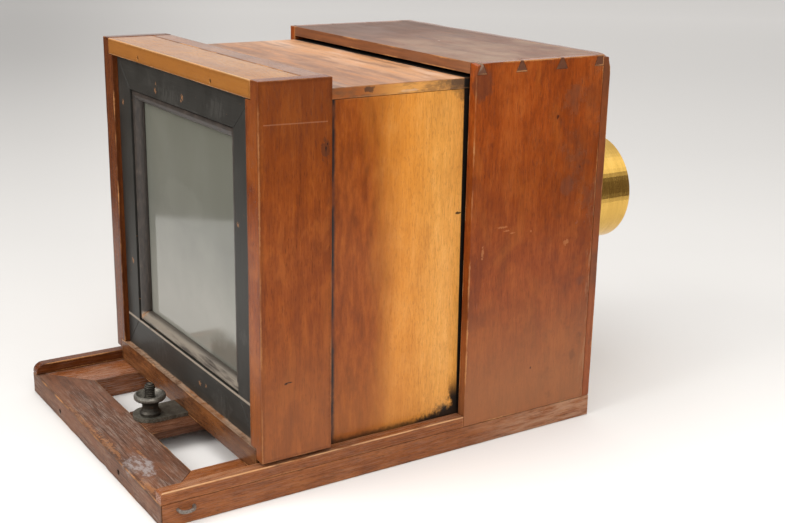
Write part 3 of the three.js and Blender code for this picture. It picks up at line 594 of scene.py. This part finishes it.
# node: slot, grain axis, tones, worn() settings, wood() settings
BOARDS = {
    "front_box_side_right": ("red_mahogany", "z", MAHOGANY,
                             {"radius": 0.3, "wear": 0.3, "chips": REAR_CORNER_CHIP},
                             {"extra": front_side_marks, "soot": 0.1, "flow": 4.0}),
    "front_box_side_left": ("red_mahogany", "z", MAHOGANY, {"radius": 0.3, "wear": 0.3},
                            {"extra": front_side_marks}),
    "front_box_top": ("brown_wood", "x", TOP, {"radius": 0.15, "wear": 0.25, "chips": REAR_CORNER_CHIP},
                      {"extra": front_top_marks, "soot": 0.15, "rough": 0.36, "specular": 0.42}),
    "lens_panel": ("red_mahogany", "z", MAHOGANY, {"radius": 0.4, "chips": LENS_CORNER_CHIP},
                   {"extra": panel_marks, "blotch": 0.7, "soot": 0.1}),
    "slide_box_side_right": ("red_mahogany", "z", HONEY, {"radius": 0.04, "wear": 0.05},
                             {"extra": slide_side_marks, "blotch": 0.1, "soot": 0.0, "wear": 0.2,
                              "flow": 3.0}),
    "slide_box_side_left": ("red_mahogany", "z", HONEY, {"wear": 0.3}, {}),
    "slide_box_top": ("brown_wood", "x", PINKISH, {"radius": 0.12, "wear": 0.15},
                      {"extra": slide_top_marks, "blotch": 0.2, "rough": 0.36, "soot": 0.0, "wear": 0.4,
                       "specular": 0.4}),
    "slide_box_bottom": ("brown_wood", "x", PINKISH, {}, {}),
    "cheek_right": ("red_mahogany", "z", CHEEK, {"radius": 0.6, "wear": 0.4},
                    {"extra": cheek_marks, "wear": 0.5, "blotch": 0.15, "specular": 0.17, "flow": 2.5}),
    "cheek_left": ("red_mahogany", "z", SHADED_FAR_WOOD, {}, {"blotch": 0.5, "specular": 0.15}),
    "carrier_top_plank": ("dark_wood", "x", PLANK, {"wear": 0.4}, {"blotch": 0.3}),
    "screen_cap": ("honey_wood", "x", CAP, {"radius": 1.0}, {"extra": cap_marks, "blotch": 0.2}),
    "carrier_bottom_rail": ("brown_wood", "x", RAIL, {"radius": 1.2, "wear": 0.8}, {"extra": rail_marks}),
    "base_rear_rail": ("weathered_wood", "x", BASE, {"radius": 1.0, "wear": 1.2, "grid": 9},
                       {"extra": rear_rail_marks, "weather": 0.55, "rough": 0.52}),
    "base_stile_right": ("weathered_wood", "y", SIDE, {"radius": 0.2, "wear": 0.3},
                         {"extra": stile_marks, "weather": 0.12, "wear": 0.15, "soot": 0.0}),
    "base_stile_left": ("weathered_wood", "y", SIDE, {"radius": 0.5, "wear": 0.8}, {"weather": 0.4}),
    "base_front_board": ("weathered_wood", "x", BASE, {}, {"weather": 0.3}),
    "base_centre_slat": ("brown_wood", "y", BASE, {"wear": 0.4}, {"weather": 0.06, "specular": 0.12}),
    "guide_strip_right": ("red_mahogany", "y", SIDE, {"radius": 0.25, "wear": 0.3, "grid": 10},
                          {"extra": strip_marks, "weather": 0.1, "wear": 0.5, "soot": 0.0}),
    "guide_strip_left": ("red_mahogany", "y", SHADED_FAR_WOOD, {"radius": 0.9, "wear": 0.7, "grid": 10},
                         {"weather": 0.1, "specular": 0.15}),
}
for i, (node, (kind, axis, tones, shape, finish)) in enumerate(BOARDS.items()):
    board = worn(node, kind, seed=i + 1, **shape)
    paint(board, wood(f"wood_{node}", axis, tones, box_mm(node), seed=i + 1, **finish))


# ------------------------------------------------------------------ other finishes
def black_paint(name, axis, box, seed, chipped=(), scuffed=()):
    """Thin black paint on wood: brush lines, rubbed edges and chips that show the wood."""
    g = Graph(name)
    _, y, z = g.xyz()
    brush = g.noise(g.stretched(along(axis, 0.03, 1.1), (seed * 7, 3, 1)), 1, 3, 0.6)
    cloud = g.noise(g.place, 0.03, 4, 0.6)
    color = g.ramp(g.add(g.mul(brush, 0.4), g.mul(cloud, 0.6)), (0.3, (0.012, 0.012, 0.010)),
                   (0.55, (0.025, 0.024, 0.021)), (0.75, (0.055, 0.052, 0.045)))
    edge = g.edge(*box)
    patches = g.step(g.noise(g.place, 0.035, 3, 0.6), 0.45, 0.6)
    rub = g.mul(g.step(g.sub(edge, g.mul(g.noise(g.place, 0.3, 4, 0.7), 2.4)), 0.2, -0.6), patches)
    color = g.tint(color, rub, 0.8, (0.22, 0.15, 0.10))
    chips = g.mul(g.patches((0.22, 0.22, 0.22), 0.69, 0.72, 4, 0.7, (seed * 3, 1, 5)), 0.9)
    color = g.mix(chips, color, (0.36, 0.15, 0.06))
    for cx, cz, r in chipped:
        chip = g.blob((cx, FRAME_REAR, cz), (r * 0.8, 3, r * 0.8), 1.3, 0.7)
        color = g.tint(color, chip, 0.8, (0.30, 0.14, 0.06))
    for cx, cz, r in scuffed:
        streaky = g.patches((0.5, 0.5, 0.1), 0.42, 0.62, 4, 0.7)
        haze = g.mul(g.blob((cx, FRAME_REAR, cz), (r, 3, r * 0.6), 0.6, 0.2), streaky)
        color = g.tint(color, haze, 0.22, (0.12, 0.115, 0.105))
    # pale line along the sill: partly wear, partly painted highlight
    sill = g.step(g.math("ABSOLUTE", g.sub(z, SILL_LINE)), 1.5, 0.7)
    sill = g.mul(g.mul(sill, g.step(y, FRAME_REAR - 0.75, FRAME_REAR - 0.25)),
                 g.step(g.noise(g.place, 0.06, 4), 0.22, 0.42))
    color = g.tint(color, sill, 0.8, (0.36, 0.30, 0.235))
    normal = g.bump(g.sub(g.add(g.mul(brush, 0.5), cloud), chips), 0.3, 0.4)
    rough = g.add(0.36, g.mul(cloud, 0.25))
    return g.finish(color, rough, normal, specular=0.32, coat=0.08, coat_rough=0.25)


def bead_finish():
    g = Graph("bead_stain")
    *_, z = g.xyz()
    line = g.noise(g.stretched((0.12, 0.6, 0.12)), 1, 4, 0.6)
    color = g.ramp(line, (0.3, (0.013, 0.010, 0.008)), (0.6, (0.036, 0.026, 0.020)),
                   (0.8, (0.075, 0.056, 0.043)))
    # pale sill of the bead: partly wear, partly painted highlight
    sill = g.mul(g.step(z, 79, 76), g.patches((0.02, 0.2, 0.2), 0.30, 0.56, 4, 0.6))
    color = g.tint(color, sill, 0.8, (0.25, 0.215, 0.17))
    color = g.mix(g.blob((97, 174, 73), (7, 6, 5), 0.4, 0.2), color, (0.36, 0.19, 0.09))
    return g.finish(color, g.add(0.36, g.mul(line, 0.2)), g.bump(line, 0.2, 0.4), coat=0.1)


def ground_glass_finish():
    g = Graph("ground_glass")
    *_, z = g.xyz()
    cloud = g.noise(g.stretched((0.011, 0.011, 0.011), (3, 5, 2)), 1, 4, 0.6)
    # darker at the top, lighter at the bottom: painted reflection
    tone = g.add(g.step(z, 290, 70, 0.0, 1.0), g.mul(g.sub(cloud, 0.5), 0.5))
    color = g.ramp(tone, (0.05, (0.135, 0.138, 0.112)), (0.5, (0.140, 0.143, 0.122)),
                   (0.95, (0.25, 0.245, 0.215)))
    smear = g.patches((0.012, 0.012, 0.008), 0.42, 0.72, 4, 0.5, (1, 1, 7))
    color = g.tint(color, smear, 0.10, (0.34, 0.34, 0.30))
    # painted reflection: a dark patch low on the glass
    low = g.blob((-70, GLASS_REAR, 66), (46, 9, 40), 0.16, 0.03)
    color = g.tint(color, low, 0.6, (0.070, 0.068, 0.054))
    # painted highlight: a soft pale patch on the upper glass
    painted_highlight = g.blob((18, GLASS_REAR, 196), (44, 9, 17), 0.4, 0.03)
    color = g.tint(color, painted_highlight, 0.08, (0.30, 0.30, 0.26))
    # painted shade along the edges of the glass by the frame
    rim_shade = g.step(g.edge(*GLASS_SEEN), 9, 0)
    color = g.tint(color, rim_shade, 0.35, (0.10, 0.10, 0.085))
    return g.finish(color, g.add(0.07, g.mul(smear, 0.05)), g.bump(g.noise(g.place, 0.02, 2), 0.15, 0.2),
                    specular=0.62)


def brass_finish(name):
    """Lacquered brass with fine turning lines round the lens axis and a slightly browned bloom."""
    g = Graph(name)
    turned = g.noise(g.stretched((0.02, 3.4, 0.02)), 1, 3, 0.7)
    broad = g.noise(g.stretched((0.02, 0.22, 0.02)), 1, 2, 0.5)
    bloom = g.noise(g.place, 0.05, 4, 0.6)
    color = g.ramp(g.add(g.mul(turned, 0.35), g.add(g.mul(broad, 0.3), g.mul(bloom, 0.35))),
                   (0.32, (0.60, 0.36, 0.075)), (0.55, (0.82, 0.51, 0.125)), (0.75, (0.92, 0.63, 0.20)))
    spots = g.step(g.noise(g.place, 0.28, 4, 0.7), 0.66, 0.72)
    color = g.tint(color, spots, 0.5, (0.30, 0.17, 0.05))
    rough = g.add(0.17, g.add(g.mul(turned, 0.16), g.mul(spots, 0.2)))
    return g.finish(color, rough, g.bump(turned, 0.02, 0.35), metallic=1.0)


def iron_finish(name, bright=None):
    g = Graph(name)
    grainy = g.noise(g.place, 0.9, 4, 0.65)
    cloud = g.noise(g.place, 0.12, 4, 0.6)
    color = g.ramp(g.add(g.mul(grainy, 0.5), g.mul(cloud, 0.5)), (0.35, (0.024, 0.021, 0.017)),
                   (0.55, (0.060, 0.053, 0.043)), (0.72, (0.13, 0.118, 0.10)))
    rust = g.step(g.noise(g.place, 0.3, 4, 0.7), 0.62, 0.7)
    color = g.tint(color, rust, 0.5, (0.13, 0.055, 0.022))
    rough = g.add(0.36, g.mul(grainy, 0.25))
    if bright:
        *_, z = g.xyz()
        polish = g.mul(g.mul(g.step(z, bright[0], bright[0] + 0.8), g.step(z, bright[1] + 0.8, bright[1])),
                       g.step(grainy, 0.35, 0.6, 0.45, 1.0))
        color = g.mix(polish, color, (0.20, 0.185, 0.16))
        rough = g.sub(rough, g.mul(polish, 0.12))
    return g.finish(color, rough, g.bump(grainy, 0.18, 0.6), metallic=0.75)


def strap_finish():
    """Iron strap with a dull greenish-grey skin, paler in patches."""
    g = Graph("strap_iron")
    grainy = g.noise(g.place, 0.8, 4, 0.65)
    cloud = g.noise(g.place, 0.10, 4, 0.6)
    color = g.ramp(g.add(g.mul(grainy, 0.5), g.mul(cloud, 0.5)), (0.35, (0.045, 0.040, 0.030)),
                   (0.52, (0.11, 0.100, 0.078)), (0.68, (0.22, 0.205, 0.170)))
    return g.finish(color, g.add(0.34, g.mul(grainy, 0.25)), g.bump(grainy, 0.18, 0.6), metallic=0.45)


def thread_finish():
    """Iron with a screw thread round the stud."""
    g = Graph("stud_iron")
    x, y, z = g.xyz()
    middle = [(a + b) / 2 for a, b in zip(*box_mm("clamp_bolt"))]
    angle = g.math("ARCTAN2", g.sub(y, middle[1]), g.sub(x, middle[0]))
    wave = g.math("SINE", g.add(g.mul(z, 2 * math.pi / THREAD_PITCH), angle))
    n = g.noise(g.place, 0.8, 3, 0.6)
    color = g.ramp(g.add(g.mul(wave, 0.3), g.mul(n, 0.6)), (0.1, (0.025, 0.021, 0.017)),
                   (0.7, (0.15, 0.135, 0.11)))
    return g.finish(color, g.add(0.34, g.mul(n, 0.2)), g.bump(wave, 0.7, 0.9), metallic=0.7)


def wire_finish():
    g = Graph("staple_wire")
    n = g.noise(g.place, 0.6, 4, 0.7)
    color = g.ramp(n, (0.3, (0.10, 0.075, 0.06)), (0.6, (0.30, 0.27, 0.24)), (0.8, (0.5, 0.47, 0.43)))
    return g.finish(color, g.add(0.35, g.mul(n, 0.3)), g.bump(n, 0.1, 0.5), metallic=0.7)


def lens_finish():
    g = Graph("lens_glass")
    n = g.noise(g.place, 0.05, 3)
    color = g.mix(n, (0.55, 0.60, 0.60), (0.70, 0.72, 0.70))
    g.bsdf.inputs["Transmission Weight"].default_value = 0.85
    g.bsdf.inputs["IOR"].default_value = 1.52
    return g.finish(color, g.add(0.02, g.mul(n, 0.04)), g.bump(n, 0.01, 0.1))


# bare spots on the rear face of the screen frame: x, z, radius in mm
CHIPPED = {"top": ((45.8, 285.7, 2.2), (44, 291, 1.4), (-8.6, 287.6, 2.4), (-7, 284, 1.2)),
           "left": ((120.3, 264.8, 2.2), (113.1, 122.3, 2.6)), "right": ((-105.6, 206.5, 1.8),),
           "bottom": ((-27.9, 52.8, 2.2), (-39.8, 54.4, 1.6))}
SCUFFED = {"top": ((-71.8, 287.3, 14), (20, 280, 22)), "left": (), "right": ((-112, 120, 10),),
           "bottom": ((60, 55, 20), (-70, 50, 16))}
FRAME_AXES = {"right": "z", "left": "z", "top": "x", "bottom": "x"}
for i, (part, axis) in enumerate(FRAME_AXES.items()):
    node = f"screen_frame_{part}"
    piece = worn(node, "black_paint", radius=0.3, wear=0.4, grid=12, seed=40 + i)
    paint(piece, black_paint(f"paint_{part}", axis, box_mm(node), i, CHIPPED[part], SCUFFED[part]))
BEAD, BRASS = bead_finish(), brass_finish("brass")
IRON, NUT_IRON = iron_finish("iron"), iron_finish("nut_iron", bright=(NUT_TOP - 4, NUT_TOP))
SINGLE = {"ground_glass": ground_glass_finish(), "clamp_nut": NUT_IRON, "clamp_bolt": thread_finish(),
          "front_lens": lens_finish()}
SINGLE["rear_lens"] = SINGLE["front_lens"]
SINGLE["clamp_strap"] = strap_finish()
WIRE = wire_finish()
for node, obj in NODES.items():
    if node in BOARDS or node.startswith("screen_frame"):
        continue
    if node in SINGLE:
        paint(obj, SINGLE[node])
    elif node.startswith("glass_bead"):
        paint(obj, BEAD)
    elif node.startswith(("clamp", "strap", "cap_nail")):
        paint(soften(node, 0.3), IRON)
    elif node.startswith("base_staple"):
        thicker = obj.modifiers.new("wire", "DISPLACE")
        thicker.strength, thicker.mid_level = 0.45 * MM, 0.0
        paint(obj, WIRE)
    else:
        paint(obj, BRASS)


# ------------------------------------------------------------------ table and light
ACROSS, AWAY = Vector((-0.546, -0.838, 0)), Vector((0.838, -0.546, 0))     # ground directions of the view
TABLE = ((-0.90, -3.0), (0.50, -3.0), (0.62, -1.2), (0.77, -0.124), (3.4, 5.6), (3.4, 9.0), (-3.2, 9.0),
         (-3.2, 5.6), (-0.80, 1.05), (-0.72, 0.45), (-0.723, 0.341), (-0.817, 0.0))
TABLE_DROP = 0.4 * MM    # keeps the sheet clear of the underside of the base
# painted light falloff: paleness of the sheet against the distance from the origin, away from the viewer, in
# mm
PAINTED_FALLOFF = ((-230, 0.82), (-10, 0.73), (120, 0.69), (285, 0.665), (500, 0.625), (780, 0.61), (1170, 0.61),
            (1750, 0.64), (2270, 0.67), (3000, 0.73), (3700, 0.80))
PALE_FROM, PALE_SPAN = -300, 4700
SHADE_FAN_FROM = -1200         # the painted shade fan on the left opens from this distance
ROOM_PALE, ROOM_DARK = (1.0, 0.985, 0.965), (0.17, 0.135, 0.115)
ROOM_LEFT = (0.838, 0.545, 0)
ROOM_DARK_TO = 26.0      # degrees: the unlit room is reflected from below this height


def make_table():
    """A pale sheet that ends beyond the right edge of the picture, as the band in the brass shows."""
    bm = bmesh.new()
    bm.faces.new([bm.verts.new(ACROSS * u + AWAY * v) for u, v in TABLE])
    bmesh.ops.recalc_face_normals(bm, faces=bm.faces[:])
    me = bpy.data.meshes.new("table")
    bm.to_mesh(me)
    if me.polygons[0].normal.z < 0:
        me.flip_normals()
    obj = bpy.data.objects.new("table", me)
    bpy.context.scene.collection.objects.link(obj)
    obj.location.z = -TABLE_DROP
    g = Graph("table")
    x, y, _ = g.xyz()
    away = g.add(g.mul(x, AWAY.x), g.mul(y, AWAY.y))
    across = g.add(g.mul(x, ACROSS.x), g.mul(y, ACROSS.y))
    # painted light falloff along the sheet, away from the viewer
    stops = [((v - PALE_FROM) / PALE_SPAN, (p, p * 0.985, p * 0.97)) for v, p in PAINTED_FALLOFF]
    color = g.ramp(g.math("DIVIDE", g.sub(away, PALE_FROM), PALE_SPAN), *stops)
    # painted shade: a darker fan on the left of the sheet
    shade_fan = g.step(g.math("DIVIDE", across, g.sub(away, SHADE_FAN_FROM)), -0.10, -0.30)
    color = g.mix(g.mul(shade_fan, g.step(away, 300, 2600, 0.10, 0.29)), color, (0, 0, 0))
    g.finish(color, 0.75, specular=0.1)
    paint(obj, g.mat)


def make_room():
    """A soft white studio all round; reflections also meet the unlit room beyond the table."""
    world = bpy.data.worlds.new("studio")
    world.use_nodes = True
    g = Nodes(world.node_tree)
    background = g.tree.nodes["Background"]
    way = g.node("ShaderNodeTexCoord").outputs["Generated"]
    height = g.node("ShaderNodeSeparateXYZ", {0: way}).outputs[2]
    top = math.sin(math.radians(ROOM_DARK_TO))
    below = g.step(height, top, top + 0.03, 1.0, 0.0)
    right = g.step(g.dot(way, [-c for c in ROOM_LEFT]), 0.15, 0.45)
    left = g.step(g.dot(way, ROOM_LEFT), 0.70, 0.85)
    dark = g.mul(below, g.math("MAXIMUM", right, left))
    seen = g.node("ShaderNodeLightPath").outputs["Is Camera Ray"]
    dark = g.math("SUBTRACT", dark, seen, clamp=True)
    g.put(background.inputs["Color"], g.mix(dark, ROOM_PALE, ROOM_DARK))
    background.inputs["Strength"].default_value = 0.8
    bpy.context.scene.world = world


def light(name, where, aim, size, power, color=(1, 1, 1)):
    data = bpy.data.lights.new(name, "AREA")
    data.shape, data.energy, data.color = "RECTANGLE", power, color
    data.size, data.size_y = size
    obj = bpy.data.objects.new(name, data)
    bpy.context.scene.collection.objects.link(obj)
    obj.location = where
    obj.rotation_mode = "QUATERNION"
    obj.rotation_quaternion = (Vector(aim) - Vector(where)).to_track_quat("-Z", "Y")
    return obj


make_table()
make_room()
light("overhead", (-0.1, 0.3, 2.3), (0, 0, 0.1), (2.4, 2.4), 29, (1, 0.985, 0.96))
light("rear_left", (0.2, 2.3, 1.8), (0, 0, 0.1), (1.8, 1.2), 44, (1, 0.985, 0.955))
light("camera_side", (-2.2, 0.35, 1.5), (0, -0.1, 0.15), (2.0, 1.5), 27, (1, 0.975, 0.94))
light("lens_side", (-1.45, -1.35, 1.75), (0, -0.2, 0.15), (2.2, 1.5), 6, (1, 0.975, 0.94))

# ------------------------------------------------------------------ camera
CAMERA_AT = Vector((-0.908904, 0.566834, 0.446023))
YAW, PITCH, ROLL = -0.5775353, -0.2918661, 0.0186161
FOCAL = 56.583


def make_camera():
    ahead = Vector((math.cos(PITCH) * math.cos(YAW), math.cos(PITCH) * math.sin(YAW), math.sin(PITCH)))
    right = ahead.cross(Vector((0, 0, 1))).normalized()
    up = right.cross(ahead)
    r2 = math.cos(ROLL) * right + math.sin(ROLL) * up
    u2 = -math.sin(ROLL) * right + math.cos(ROLL) * up
    data = bpy.data.cameras.new("camera")
    data.lens, data.sensor_width = FOCAL, 36.0
    data.dof.use_dof = False
    obj = bpy.data.objects.new("camera", data)
    bpy.context.scene.collection.objects.link(obj)
    m = Matrix((r2, u2, -ahead)).transposed().to_4x4()
    m.translation = CAMERA_AT
    obj.matrix_world = m
    bpy.context.scene.camera = obj


make_camera()
bpy.context.scene.view_settings.view_transform = "Standard"
